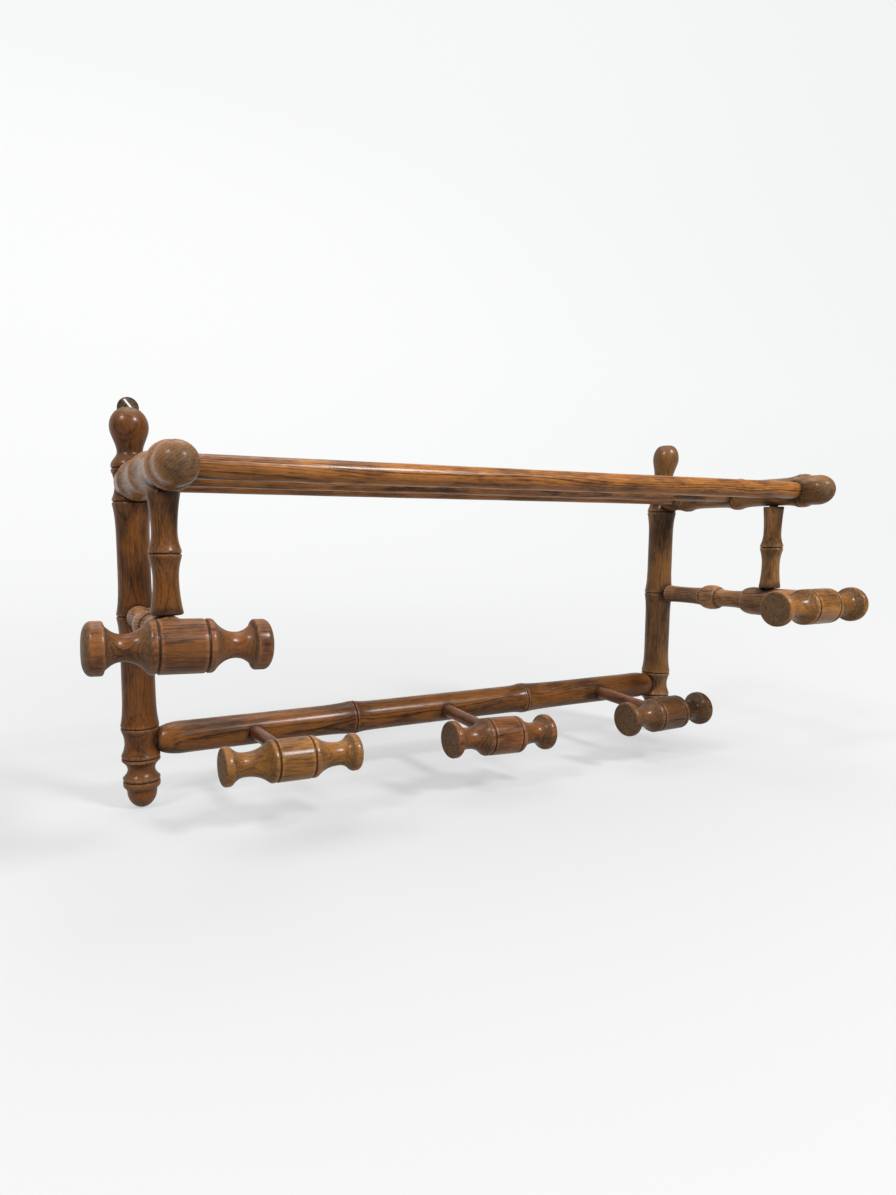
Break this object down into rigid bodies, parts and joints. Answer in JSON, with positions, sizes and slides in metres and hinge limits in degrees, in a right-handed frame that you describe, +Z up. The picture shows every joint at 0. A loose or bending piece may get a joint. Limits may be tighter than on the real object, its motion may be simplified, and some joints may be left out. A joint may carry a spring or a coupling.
{
  "type": "wall-mounted coat and hat rack",
  "caption": "Wall-hung coat and hat rack in turned faux-bamboo oak: a hat shelf of round rods on arms, over double-ended coat pegs.",
  "frame": {"origin": "on the wall's face, midway between the pivots of the two hanger plates", "axes": "+X along the rack, to the right of someone who faces it; +Y into the wall; +Z up"},
  "size_m": [0.8818, 0.2917, 0.4341],
  "materials": {
    "post_oak_dark": "satin varnish, brown stained oak",
    "post_oak": "satin varnish, brown stained oak",
    "rail_oak": "satin varnish, brown stained oak",
    "arm_oak": "satin varnish, brown stained oak, greyed",
    "rod_oak": "satin varnish, golden brown oak",
    "strut_oak_dark": "satin varnish, brown stained oak",
    "strut_oak": "satin varnish, brown stained oak",
    "peg_arm_oak": "satin varnish, brown stained oak",
    "peg_oak_dark": "satin varnish, brown stained oak",
    "peg_oak_brown": "satin varnish, greyed brown stained oak",
    "peg_oak_golden": "satin varnish, golden brown oak",
    "shank_oak": "satin varnish, brown stained oak",
    "hanger_iron": "dark, old, slightly rusted",
    "screw_steel": "dull, slotted, worn"
  },
  "bodies": {
    "rack": {"post_left": "post_oak_dark", "post_right": "post_oak", "lower_rail": "rail_oak", "upper_arm_left": "arm_oak", "upper_arm_right": "arm_oak", "shelf_rod_back": "rod_oak", "shelf_rod_middle": "rod_oak", "shelf_rod_front": "rod_oak", "strut_left": "strut_oak_dark", "strut_right": "strut_oak", "peg_arm_left": "peg_arm_oak", "peg_arm_right": "peg_arm_oak", "peg_head_arm_left": "peg_oak_dark", "peg_head_arm_right": "peg_oak_golden", "peg_head_rail_left": "peg_oak_golden", "peg_head_rail_middle": "peg_oak_dark", "peg_head_rail_right": "peg_oak_brown", "peg_shank_left": "shank_oak", "peg_shank_middle": "shank_oak", "peg_shank_right": "shank_oak", "hanger_screw_left": "screw_steel", "hanger_screw_right": "screw_steel"},
    "hanger_left": {"hanger_plate_left": "hanger_iron"},
    "hanger_right": {"hanger_plate_right": "hanger_iron"}
  },
  "joints": [
    {"name": "hanger_swivel_left", "type": "hinge", "parent": "rack", "child": "hanger_left", "pos_m": [-0.371, 0, 0], "axis": [0, 1, 0], "continuous": true},
    {"name": "hanger_swivel_right", "type": "hinge", "parent": "rack", "child": "hanger_right", "pos_m": [0.371, 0, 0], "axis": [0, 1, 0], "continuous": true}
  ]
}
